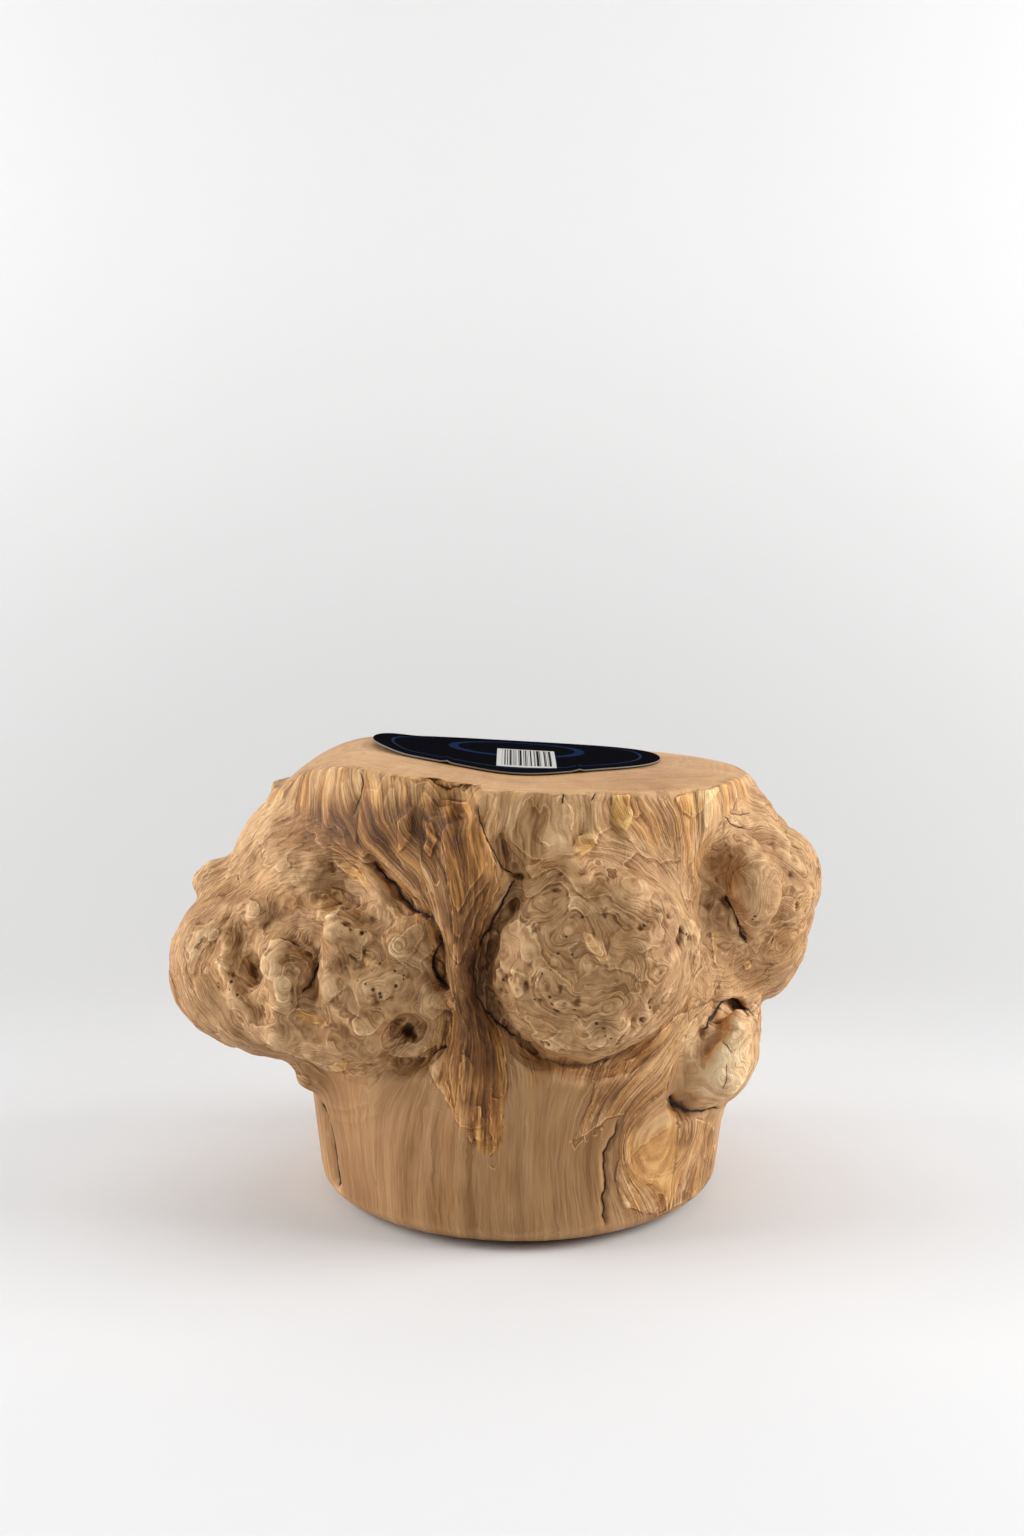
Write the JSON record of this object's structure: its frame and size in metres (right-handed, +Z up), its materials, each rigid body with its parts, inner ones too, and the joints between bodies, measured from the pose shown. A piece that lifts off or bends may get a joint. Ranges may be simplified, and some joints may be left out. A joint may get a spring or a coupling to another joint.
{
  "type": "coffee wood dog chew",
  "caption": "Squat lump of burled coffee root wood, sawn flat at both ends, with rounded burls round its wall and a round paper sticker on its upper face.",
  "frame": {"origin": "middle of the part's box, on the surface that the lower sawn end stands on", "axes": "+X to the right of the side with the two big burls, along the longest extent; -Y out of that side; +Z up, along the shortest extent and the stump's grain"},
  "size_m": [0.1428, 0.1134, 0.0997],
  "materials": {
    "wood": "raw, brushed and lightly sanded",
    "sticker": "satin printed paper"
  },
  "bodies": {
    "root": {"root_wood": "wood", "sticker": "sticker"}
  },
  "joints": []
}
